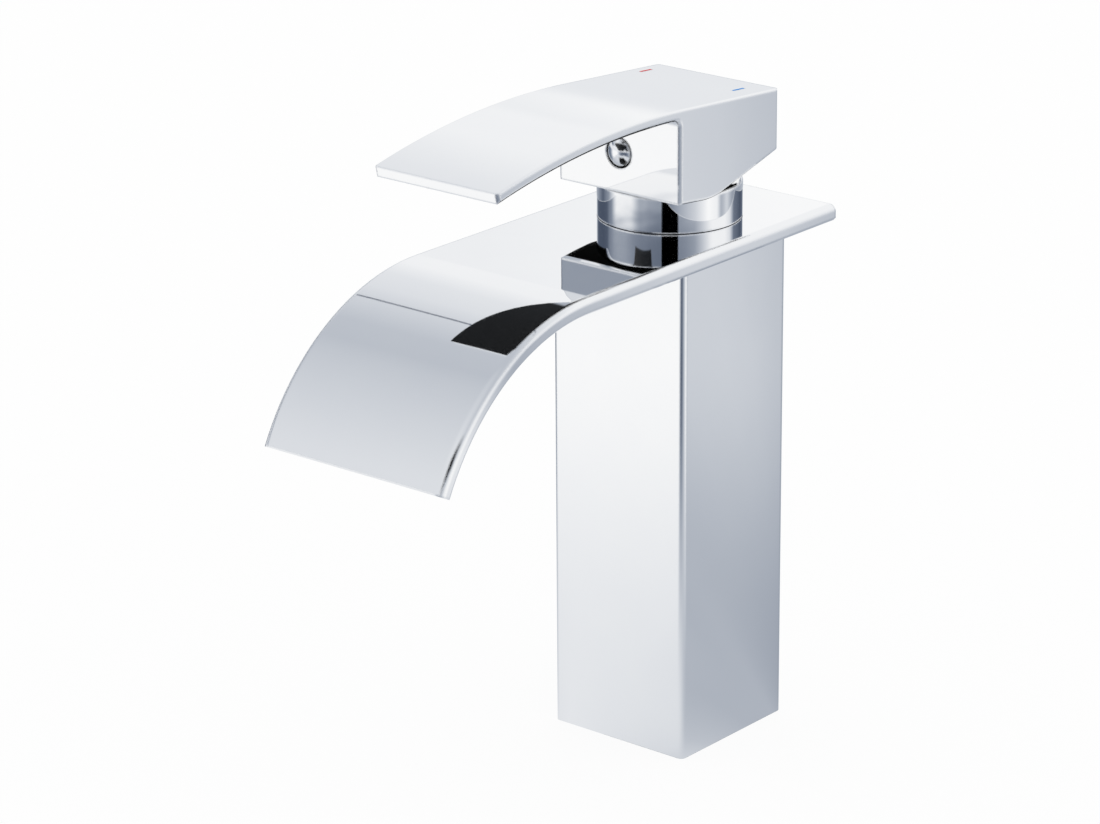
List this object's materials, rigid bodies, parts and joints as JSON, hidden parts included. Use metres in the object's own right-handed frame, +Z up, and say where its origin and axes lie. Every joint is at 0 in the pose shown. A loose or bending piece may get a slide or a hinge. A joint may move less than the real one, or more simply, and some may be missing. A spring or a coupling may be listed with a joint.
{
  "type": "waterfall basin faucet",
  "caption": "Single-lever waterfall basin faucet with a square column, a curved plate spout and a flat blade handle that turns for temperature and lifts for flow.",
  "frame": {"origin": "centre of the column's foot, on the face that stands on the basin", "axes": "+Z up along the column, -Y towards the spout and the user, -X the hot side"},
  "size_m": [0.0604, 0.1639, 0.1842],
  "materials": {
    "chrome_body": "polished",
    "chrome_plug": "polished",
    "bare_brass": "satin",
    "bare_steel": "satin",
    "seal_rubber": "matte",
    "valve_plastic": "satin",
    "valve_ceramic": "gloss",
    "hot_enamel": "gloss",
    "cold_enamel": "gloss"
  },
  "bodies": {
    "faucet_body": {"column": "chrome_body", "base_block": "bare_brass", "base_seal": "seal_rubber", "hot_riser": "bare_brass", "cold_riser": "bare_brass", "spout_shell": "chrome_body", "spout_tray": "chrome_body", "cartridge_housing": "bare_brass", "port_seals": "seal_rubber", "cartridge_base": "valve_plastic", "disc_seals": "seal_rubber", "fixed_disc": "valve_ceramic", "cartridge_body": "valve_plastic", "retaining_nut": "bare_brass", "collar": "chrome_body"},
    "valve_rotor": {"rotor": "valve_plastic", "pivot_pin": "bare_steel"},
    "lever_handle": {"lever": "bare_steel", "handle": "chrome_body", "set_screw": "bare_steel", "index_plug": "chrome_plug", "hot_mark": "hot_enamel", "cold_mark": "cold_enamel"},
    "disc_slide": {"disc_carrier": "valve_plastic", "moving_disc": "valve_ceramic"}
  },
  "joints": [
    {"name": "handle_turn", "type": "hinge", "parent": "faucet_body", "child": "valve_rotor", "pos_m": [0, 0, 0.153], "axis": [0, 0, 1], "range_deg": [-45, 45]},
    {"name": "handle_lift", "type": "hinge", "parent": "valve_rotor", "child": "lever_handle", "pos_m": [0, 0, 0.153], "axis": [-1, 0, 0], "range_deg": [0, 22]},
    {"name": "disc_travel", "type": "slide", "parent": "valve_rotor", "child": "disc_slide", "axis": [0, -1, 0], "range_m": [0, 0.0044]}
  ],
  "couplings": [
    {"joint": "disc_travel", "follows": "handle_lift", "m_per_rad": 0.011415}
  ]
}
